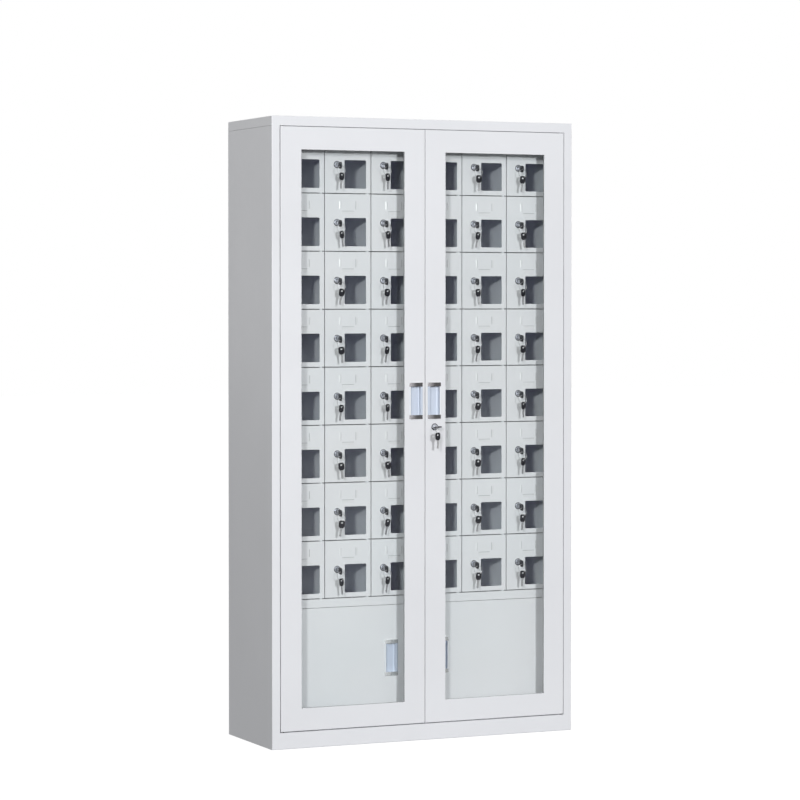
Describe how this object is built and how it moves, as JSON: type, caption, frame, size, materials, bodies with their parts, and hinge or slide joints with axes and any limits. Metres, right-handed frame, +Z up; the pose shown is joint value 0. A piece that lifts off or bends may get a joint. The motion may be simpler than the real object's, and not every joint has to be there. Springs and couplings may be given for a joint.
{
  "type": "phone locker cabinet",
  "caption": "Upright steel phone locker cabinet: hinged glass doors over a grid of small keyed cell doors with clear windows, and a cupboard with solid doors below",
  "frame": {"origin": "centre of the base's underside, half way along the width and the depth of the steel body", "axes": "+Z up, the doors face -Y, +X to the right seen from the front"},
  "size_m": [0.984, 0.3952, 1.85],
  "materials": {
    "body_paint": "satin powder coat, light grey",
    "cell_paint": "satin powder coat, light grey",
    "door_glass": "clear float glass",
    "handle_metal": "anodised channel with chromed end caps",
    "lock_chrome": "polished chrome",
    "steel": "bright steel"
  },
  "bodies": {
    "cabinet": {"cabinet_shell": "body_paint", "cell_rack": "body_paint", "hinge_pins": "steel"},
    "left_glass_door": {"left_glass_door": "body_paint", "left_glass_pane": "door_glass", "left_glass_door_handle": "handle_metal"},
    "right_glass_door": {"right_glass_door": "body_paint", "right_glass_pane": "door_glass", "right_glass_door_hardware": "handle_metal"},
    "glass_door_lock": {"glass_door_lock": "lock_chrome"},
    "left_lower_door": {"left_lower_door": "body_paint"},
    "right_lower_door": {"right_lower_door": "body_paint"},
    "cell_door_row1_col1": {"cell_door_row1_col1": "cell_paint"},
    "cell_door_row1_col2": {"cell_door_row1_col2": "cell_paint"},
    "cell_door_row1_col3": {"cell_door_row1_col3": "cell_paint"},
    "cell_door_row1_col4": {"cell_door_row1_col4": "cell_paint"},
    "cell_door_row1_col5": {"cell_door_row1_col5": "cell_paint"},
    "cell_door_row1_col6": {"cell_door_row1_col6": "cell_paint"},
    "cell_door_row2_col1": {"cell_door_row2_col1": "cell_paint"},
    "cell_door_row2_col2": {"cell_door_row2_col2": "cell_paint"},
    "cell_door_row2_col3": {"cell_door_row2_col3": "cell_paint"},
    "cell_door_row2_col4": {"cell_door_row2_col4": "cell_paint"},
    "cell_door_row2_col5": {"cell_door_row2_col5": "cell_paint"},
    "cell_door_row2_col6": {"cell_door_row2_col6": "cell_paint"},
    "cell_door_row3_col1": {"cell_door_row3_col1": "cell_paint"},
    "cell_door_row3_col2": {"cell_door_row3_col2": "cell_paint"},
    "cell_door_row3_col3": {"cell_door_row3_col3": "cell_paint"},
    "cell_door_row3_col4": {"cell_door_row3_col4": "cell_paint"},
    "cell_door_row3_col5": {"cell_door_row3_col5": "cell_paint"},
    "cell_door_row3_col6": {"cell_door_row3_col6": "cell_paint"},
    "cell_door_row4_col1": {"cell_door_row4_col1": "cell_paint"},
    "cell_door_row4_col2": {"cell_door_row4_col2": "cell_paint"},
    "cell_door_row4_col3": {"cell_door_row4_col3": "cell_paint"},
    "cell_door_row4_col4": {"cell_door_row4_col4": "cell_paint"},
    "cell_door_row4_col5": {"cell_door_row4_col5": "cell_paint"},
    "cell_door_row4_col6": {"cell_door_row4_col6": "cell_paint"},
    "cell_door_row5_col1": {"cell_door_row5_col1": "cell_paint"},
    "cell_door_row5_col2": {"cell_door_row5_col2": "cell_paint"},
    "cell_door_row5_col3": {"cell_door_row5_col3": "cell_paint"},
    "cell_door_row5_col4": {"cell_door_row5_col4": "cell_paint"},
    "cell_door_row5_col5": {"cell_door_row5_col5": "cell_paint"},
    "cell_door_row5_col6": {"cell_door_row5_col6": "cell_paint"},
    "cell_door_row6_col1": {"cell_door_row6_col1": "cell_paint"},
    "cell_door_row6_col2": {"cell_door_row6_col2": "cell_paint"},
    "cell_door_row6_col3": {"cell_door_row6_col3": "cell_paint"},
    "cell_door_row6_col4": {"cell_door_row6_col4": "cell_paint"},
    "cell_door_row6_col5": {"cell_door_row6_col5": "cell_paint"},
    "cell_door_row6_col6": {"cell_door_row6_col6": "cell_paint"},
    "cell_door_row7_col1": {"cell_door_row7_col1": "cell_paint"},
    "cell_door_row7_col2": {"cell_door_row7_col2": "cell_paint"},
    "cell_door_row7_col3": {"cell_door_row7_col3": "cell_paint"},
    "cell_door_row7_col4": {"cell_door_row7_col4": "cell_paint"},
    "cell_door_row7_col5": {"cell_door_row7_col5": "cell_paint"},
    "cell_door_row7_col6": {"cell_door_row7_col6": "cell_paint"},
    "cell_door_row8_col1": {"cell_door_row8_col1": "cell_paint"},
    "cell_door_row8_col2": {"cell_door_row8_col2": "cell_paint"},
    "cell_door_row8_col3": {"cell_door_row8_col3": "cell_paint"},
    "cell_door_row8_col4": {"cell_door_row8_col4": "cell_paint"},
    "cell_door_row8_col5": {"cell_door_row8_col5": "cell_paint"},
    "cell_door_row8_col6": {"cell_door_row8_col6": "cell_paint"}
  },
  "joints": [
    {"name": "left_glass_door_hinge", "type": "hinge", "parent": "cabinet", "child": "left_glass_door", "pos_m": [-0.4585, -0.171, 0.925], "axis": [0, 0, -1], "range_deg": [0, 120]},
    {"name": "right_glass_door_hinge", "type": "hinge", "parent": "cabinet", "child": "right_glass_door", "pos_m": [0.4585, -0.171, 0.925], "axis": [0, 0, 1], "range_deg": [0, 120]},
    {"name": "glass_door_lock_turn", "type": "hinge", "parent": "right_glass_door", "child": "glass_door_lock", "pos_m": [0.031, -0.175, 0.935], "axis": [0, -1, 0], "range_deg": [0, 90]},
    {"name": "left_lower_door_hinge", "type": "hinge", "parent": "cabinet", "child": "left_lower_door", "pos_m": [-0.43975, -0.1105, 0.226], "axis": [0, 0, -1], "range_deg": [0, 84]},
    {"name": "right_lower_door_hinge", "type": "hinge", "parent": "cabinet", "child": "right_lower_door", "pos_m": [0.43975, -0.1105, 0.226], "axis": [0, 0, 1], "range_deg": [0, 84]},
    {"name": "cell_door_row1_col1_hinge", "type": "hinge", "parent": "cabinet", "child": "cell_door_row1_col1", "pos_m": [-0.31025, -0.1105, 1.71437], "axis": [0, 0, 1], "range_deg": [0, 66]},
    {"name": "cell_door_row1_col2_hinge", "type": "hinge", "parent": "cabinet", "child": "cell_door_row1_col2", "pos_m": [-0.16025, -0.1105, 1.71437], "axis": [0, 0, 1], "range_deg": [0, 90]},
    {"name": "cell_door_row1_col3_hinge", "type": "hinge", "parent": "cabinet", "child": "cell_door_row1_col3", "pos_m": [-0.01025, -0.1105, 1.71437], "axis": [0, 0, 1], "range_deg": [0, 90]},
    {"name": "cell_door_row1_col4_hinge", "type": "hinge", "parent": "cabinet", "child": "cell_door_row1_col4", "pos_m": [0.13975, -0.1105, 1.71437], "axis": [0, 0, 1], "range_deg": [0, 90]},
    {"name": "cell_door_row1_col5_hinge", "type": "hinge", "parent": "cabinet", "child": "cell_door_row1_col5", "pos_m": [0.28975, -0.1105, 1.71437], "axis": [0, 0, 1], "range_deg": [0, 90]},
    {"name": "cell_door_row1_col6_hinge", "type": "hinge", "parent": "cabinet", "child": "cell_door_row1_col6", "pos_m": [0.43975, -0.1105, 1.71437], "axis": [0, 0, 1], "range_deg": [0, 78]},
    {"name": "cell_door_row2_col1_hinge", "type": "hinge", "parent": "cabinet", "child": "cell_door_row2_col1", "pos_m": [-0.31025, -0.1105, 1.54313], "axis": [0, 0, 1], "range_deg": [0, 66]},
    {"name": "cell_door_row2_col2_hinge", "type": "hinge", "parent": "cabinet", "child": "cell_door_row2_col2", "pos_m": [-0.16025, -0.1105, 1.54313], "axis": [0, 0, 1], "range_deg": [0, 90]},
    {"name": "cell_door_row2_col3_hinge", "type": "hinge", "parent": "cabinet", "child": "cell_door_row2_col3", "pos_m": [-0.01025, -0.1105, 1.54313], "axis": [0, 0, 1], "range_deg": [0, 90]},
    {"name": "cell_door_row2_col4_hinge", "type": "hinge", "parent": "cabinet", "child": "cell_door_row2_col4", "pos_m": [0.13975, -0.1105, 1.54313], "axis": [0, 0, 1], "range_deg": [0, 90]},
    {"name": "cell_door_row2_col5_hinge", "type": "hinge", "parent": "cabinet", "child": "cell_door_row2_col5", "pos_m": [0.28975, -0.1105, 1.54313], "axis": [0, 0, 1], "range_deg": [0, 90]},
    {"name": "cell_door_row2_col6_hinge", "type": "hinge", "parent": "cabinet", "child": "cell_door_row2_col6", "pos_m": [0.43975, -0.1105, 1.54313], "axis": [0, 0, 1], "range_deg": [0, 78]},
    {"name": "cell_door_row3_col1_hinge", "type": "hinge", "parent": "cabinet", "child": "cell_door_row3_col1", "pos_m": [-0.31025, -0.1105, 1.37187], "axis": [0, 0, 1], "range_deg": [0, 66]},
    {"name": "cell_door_row3_col2_hinge", "type": "hinge", "parent": "cabinet", "child": "cell_door_row3_col2", "pos_m": [-0.16025, -0.1105, 1.37187], "axis": [0, 0, 1], "range_deg": [0, 90]},
    {"name": "cell_door_row3_col3_hinge", "type": "hinge", "parent": "cabinet", "child": "cell_door_row3_col3", "pos_m": [-0.01025, -0.1105, 1.37187], "axis": [0, 0, 1], "range_deg": [0, 90]},
    {"name": "cell_door_row3_col4_hinge", "type": "hinge", "parent": "cabinet", "child": "cell_door_row3_col4", "pos_m": [0.13975, -0.1105, 1.37187], "axis": [0, 0, 1], "range_deg": [0, 90]},
    {"name": "cell_door_row3_col5_hinge", "type": "hinge", "parent": "cabinet", "child": "cell_door_row3_col5", "pos_m": [0.28975, -0.1105, 1.37187], "axis": [0, 0, 1], "range_deg": [0, 90]},
    {"name": "cell_door_row3_col6_hinge", "type": "hinge", "parent": "cabinet", "child": "cell_door_row3_col6", "pos_m": [0.43975, -0.1105, 1.37187], "axis": [0, 0, 1], "range_deg": [0, 78]},
    {"name": "cell_door_row4_col1_hinge", "type": "hinge", "parent": "cabinet", "child": "cell_door_row4_col1", "pos_m": [-0.31025, -0.1105, 1.20063], "axis": [0, 0, 1], "range_deg": [0, 66]},
    {"name": "cell_door_row4_col2_hinge", "type": "hinge", "parent": "cabinet", "child": "cell_door_row4_col2", "pos_m": [-0.16025, -0.1105, 1.20063], "axis": [0, 0, 1], "range_deg": [0, 90]},
    {"name": "cell_door_row4_col3_hinge", "type": "hinge", "parent": "cabinet", "child": "cell_door_row4_col3", "pos_m": [-0.01025, -0.1105, 1.20063], "axis": [0, 0, 1], "range_deg": [0, 90]},
    {"name": "cell_door_row4_col4_hinge", "type": "hinge", "parent": "cabinet", "child": "cell_door_row4_col4", "pos_m": [0.13975, -0.1105, 1.20063], "axis": [0, 0, 1], "range_deg": [0, 90]},
    {"name": "cell_door_row4_col5_hinge", "type": "hinge", "parent": "cabinet", "child": "cell_door_row4_col5", "pos_m": [0.28975, -0.1105, 1.20063], "axis": [0, 0, 1], "range_deg": [0, 90]},
    {"name": "cell_door_row4_col6_hinge", "type": "hinge", "parent": "cabinet", "child": "cell_door_row4_col6", "pos_m": [0.43975, -0.1105, 1.20063], "axis": [0, 0, 1], "range_deg": [0, 78]},
    {"name": "cell_door_row5_col1_hinge", "type": "hinge", "parent": "cabinet", "child": "cell_door_row5_col1", "pos_m": [-0.31025, -0.1105, 1.02937], "axis": [0, 0, 1], "range_deg": [0, 66]},
    {"name": "cell_door_row5_col2_hinge", "type": "hinge", "parent": "cabinet", "child": "cell_door_row5_col2", "pos_m": [-0.16025, -0.1105, 1.02937], "axis": [0, 0, 1], "range_deg": [0, 90]},
    {"name": "cell_door_row5_col3_hinge", "type": "hinge", "parent": "cabinet", "child": "cell_door_row5_col3", "pos_m": [-0.01025, -0.1105, 1.02937], "axis": [0, 0, 1], "range_deg": [0, 90]},
    {"name": "cell_door_row5_col4_hinge", "type": "hinge", "parent": "cabinet", "child": "cell_door_row5_col4", "pos_m": [0.13975, -0.1105, 1.02937], "axis": [0, 0, 1], "range_deg": [0, 90]},
    {"name": "cell_door_row5_col5_hinge", "type": "hinge", "parent": "cabinet", "child": "cell_door_row5_col5", "pos_m": [0.28975, -0.1105, 1.02937], "axis": [0, 0, 1], "range_deg": [0, 90]},
    {"name": "cell_door_row5_col6_hinge", "type": "hinge", "parent": "cabinet", "child": "cell_door_row5_col6", "pos_m": [0.43975, -0.1105, 1.02937], "axis": [0, 0, 1], "range_deg": [0, 78]},
    {"name": "cell_door_row6_col1_hinge", "type": "hinge", "parent": "cabinet", "child": "cell_door_row6_col1", "pos_m": [-0.31025, -0.1105, 0.85813], "axis": [0, 0, 1], "range_deg": [0, 66]},
    {"name": "cell_door_row6_col2_hinge", "type": "hinge", "parent": "cabinet", "child": "cell_door_row6_col2", "pos_m": [-0.16025, -0.1105, 0.85813], "axis": [0, 0, 1], "range_deg": [0, 90]},
    {"name": "cell_door_row6_col3_hinge", "type": "hinge", "parent": "cabinet", "child": "cell_door_row6_col3", "pos_m": [-0.01025, -0.1105, 0.85813], "axis": [0, 0, 1], "range_deg": [0, 90]},
    {"name": "cell_door_row6_col4_hinge", "type": "hinge", "parent": "cabinet", "child": "cell_door_row6_col4", "pos_m": [0.13975, -0.1105, 0.85813], "axis": [0, 0, 1], "range_deg": [0, 90]},
    {"name": "cell_door_row6_col5_hinge", "type": "hinge", "parent": "cabinet", "child": "cell_door_row6_col5", "pos_m": [0.28975, -0.1105, 0.85813], "axis": [0, 0, 1], "range_deg": [0, 90]},
    {"name": "cell_door_row6_col6_hinge", "type": "hinge", "parent": "cabinet", "child": "cell_door_row6_col6", "pos_m": [0.43975, -0.1105, 0.85813], "axis": [0, 0, 1], "range_deg": [0, 78]},
    {"name": "cell_door_row7_col1_hinge", "type": "hinge", "parent": "cabinet", "child": "cell_door_row7_col1", "pos_m": [-0.31025, -0.1105, 0.68688], "axis": [0, 0, 1], "range_deg": [0, 66]},
    {"name": "cell_door_row7_col2_hinge", "type": "hinge", "parent": "cabinet", "child": "cell_door_row7_col2", "pos_m": [-0.16025, -0.1105, 0.68688], "axis": [0, 0, 1], "range_deg": [0, 90]},
    {"name": "cell_door_row7_col3_hinge", "type": "hinge", "parent": "cabinet", "child": "cell_door_row7_col3", "pos_m": [-0.01025, -0.1105, 0.68688], "axis": [0, 0, 1], "range_deg": [0, 90]},
    {"name": "cell_door_row7_col4_hinge", "type": "hinge", "parent": "cabinet", "child": "cell_door_row7_col4", "pos_m": [0.13975, -0.1105, 0.68688], "axis": [0, 0, 1], "range_deg": [0, 90]},
    {"name": "cell_door_row7_col5_hinge", "type": "hinge", "parent": "cabinet", "child": "cell_door_row7_col5", "pos_m": [0.28975, -0.1105, 0.68688], "axis": [0, 0, 1], "range_deg": [0, 90]},
    {"name": "cell_door_row7_col6_hinge", "type": "hinge", "parent": "cabinet", "child": "cell_door_row7_col6", "pos_m": [0.43975, -0.1105, 0.68688], "axis": [0, 0, 1], "range_deg": [0, 78]},
    {"name": "cell_door_row8_col1_hinge", "type": "hinge", "parent": "cabinet", "child": "cell_door_row8_col1", "pos_m": [-0.31025, -0.1105, 0.51562], "axis": [0, 0, 1], "range_deg": [0, 66]},
    {"name": "cell_door_row8_col2_hinge", "type": "hinge", "parent": "cabinet", "child": "cell_door_row8_col2", "pos_m": [-0.16025, -0.1105, 0.51562], "axis": [0, 0, 1], "range_deg": [0, 90]},
    {"name": "cell_door_row8_col3_hinge", "type": "hinge", "parent": "cabinet", "child": "cell_door_row8_col3", "pos_m": [-0.01025, -0.1105, 0.51562], "axis": [0, 0, 1], "range_deg": [0, 90]},
    {"name": "cell_door_row8_col4_hinge", "type": "hinge", "parent": "cabinet", "child": "cell_door_row8_col4", "pos_m": [0.13975, -0.1105, 0.51562], "axis": [0, 0, 1], "range_deg": [0, 90]},
    {"name": "cell_door_row8_col5_hinge", "type": "hinge", "parent": "cabinet", "child": "cell_door_row8_col5", "pos_m": [0.28975, -0.1105, 0.51562], "axis": [0, 0, 1], "range_deg": [0, 90]},
    {"name": "cell_door_row8_col6_hinge", "type": "hinge", "parent": "cabinet", "child": "cell_door_row8_col6", "pos_m": [0.43975, -0.1105, 0.51562], "axis": [0, 0, 1], "range_deg": [0, 78]}
  ],
  "couplings": [
    {"joint": "left_lower_door_hinge", "follows": "left_glass_door_hinge", "ratio": 0.7},
    {"joint": "right_lower_door_hinge", "follows": "right_glass_door_hinge", "ratio": 0.7},
    {"joint": "cell_door_row1_col1_hinge", "follows": "left_glass_door_hinge", "ratio": 0.55},
    {"joint": "cell_door_row1_col2_hinge", "follows": "left_glass_door_hinge", "ratio": 0.75},
    {"joint": "cell_door_row1_col3_hinge", "follows": "left_glass_door_hinge", "ratio": 0.75},
    {"joint": "cell_door_row1_col4_hinge", "follows": "right_glass_door_hinge", "ratio": 0.75},
    {"joint": "cell_door_row1_col5_hinge", "follows": "right_glass_door_hinge", "ratio": 0.75},
    {"joint": "cell_door_row1_col6_hinge", "follows": "right_glass_door_hinge", "ratio": 0.65},
    {"joint": "cell_door_row2_col1_hinge", "follows": "left_glass_door_hinge", "ratio": 0.55},
    {"joint": "cell_door_row2_col2_hinge", "follows": "left_glass_door_hinge", "ratio": 0.75},
    {"joint": "cell_door_row2_col3_hinge", "follows": "left_glass_door_hinge", "ratio": 0.75},
    {"joint": "cell_door_row2_col4_hinge", "follows": "right_glass_door_hinge", "ratio": 0.75},
    {"joint": "cell_door_row2_col5_hinge", "follows": "right_glass_door_hinge", "ratio": 0.75},
    {"joint": "cell_door_row2_col6_hinge", "follows": "right_glass_door_hinge", "ratio": 0.65},
    {"joint": "cell_door_row3_col1_hinge", "follows": "left_glass_door_hinge", "ratio": 0.55},
    {"joint": "cell_door_row3_col2_hinge", "follows": "left_glass_door_hinge", "ratio": 0.75},
    {"joint": "cell_door_row3_col3_hinge", "follows": "left_glass_door_hinge", "ratio": 0.75},
    {"joint": "cell_door_row3_col4_hinge", "follows": "right_glass_door_hinge", "ratio": 0.75},
    {"joint": "cell_door_row3_col5_hinge", "follows": "right_glass_door_hinge", "ratio": 0.75},
    {"joint": "cell_door_row3_col6_hinge", "follows": "right_glass_door_hinge", "ratio": 0.65},
    {"joint": "cell_door_row4_col1_hinge", "follows": "left_glass_door_hinge", "ratio": 0.55},
    {"joint": "cell_door_row4_col2_hinge", "follows": "left_glass_door_hinge", "ratio": 0.75},
    {"joint": "cell_door_row4_col3_hinge", "follows": "left_glass_door_hinge", "ratio": 0.75},
    {"joint": "cell_door_row4_col4_hinge", "follows": "right_glass_door_hinge", "ratio": 0.75},
    {"joint": "cell_door_row4_col5_hinge", "follows": "right_glass_door_hinge", "ratio": 0.75},
    {"joint": "cell_door_row4_col6_hinge", "follows": "right_glass_door_hinge", "ratio": 0.65},
    {"joint": "cell_door_row5_col1_hinge", "follows": "left_glass_door_hinge", "ratio": 0.55},
    {"joint": "cell_door_row5_col2_hinge", "follows": "left_glass_door_hinge", "ratio": 0.75},
    {"joint": "cell_door_row5_col3_hinge", "follows": "left_glass_door_hinge", "ratio": 0.75},
    {"joint": "cell_door_row5_col4_hinge", "follows": "right_glass_door_hinge", "ratio": 0.75},
    {"joint": "cell_door_row5_col5_hinge", "follows": "right_glass_door_hinge", "ratio": 0.75},
    {"joint": "cell_door_row5_col6_hinge", "follows": "right_glass_door_hinge", "ratio": 0.65},
    {"joint": "cell_door_row6_col1_hinge", "follows": "left_glass_door_hinge", "ratio": 0.55},
    {"joint": "cell_door_row6_col2_hinge", "follows": "left_glass_door_hinge", "ratio": 0.75},
    {"joint": "cell_door_row6_col3_hinge", "follows": "left_glass_door_hinge", "ratio": 0.75},
    {"joint": "cell_door_row6_col4_hinge", "follows": "right_glass_door_hinge", "ratio": 0.75},
    {"joint": "cell_door_row6_col5_hinge", "follows": "right_glass_door_hinge", "ratio": 0.75},
    {"joint": "cell_door_row6_col6_hinge", "follows": "right_glass_door_hinge", "ratio": 0.65},
    {"joint": "cell_door_row7_col1_hinge", "follows": "left_glass_door_hinge", "ratio": 0.55},
    {"joint": "cell_door_row7_col2_hinge", "follows": "left_glass_door_hinge", "ratio": 0.75},
    {"joint": "cell_door_row7_col3_hinge", "follows": "left_glass_door_hinge", "ratio": 0.75},
    {"joint": "cell_door_row7_col4_hinge", "follows": "right_glass_door_hinge", "ratio": 0.75},
    {"joint": "cell_door_row7_col5_hinge", "follows": "right_glass_door_hinge", "ratio": 0.75},
    {"joint": "cell_door_row7_col6_hinge", "follows": "right_glass_door_hinge", "ratio": 0.65},
    {"joint": "cell_door_row8_col1_hinge", "follows": "left_glass_door_hinge", "ratio": 0.55},
    {"joint": "cell_door_row8_col2_hinge", "follows": "left_glass_door_hinge", "ratio": 0.75},
    {"joint": "cell_door_row8_col3_hinge", "follows": "left_glass_door_hinge", "ratio": 0.75},
    {"joint": "cell_door_row8_col4_hinge", "follows": "right_glass_door_hinge", "ratio": 0.75},
    {"joint": "cell_door_row8_col5_hinge", "follows": "right_glass_door_hinge", "ratio": 0.75},
    {"joint": "cell_door_row8_col6_hinge", "follows": "right_glass_door_hinge", "ratio": 0.65}
  ]
}
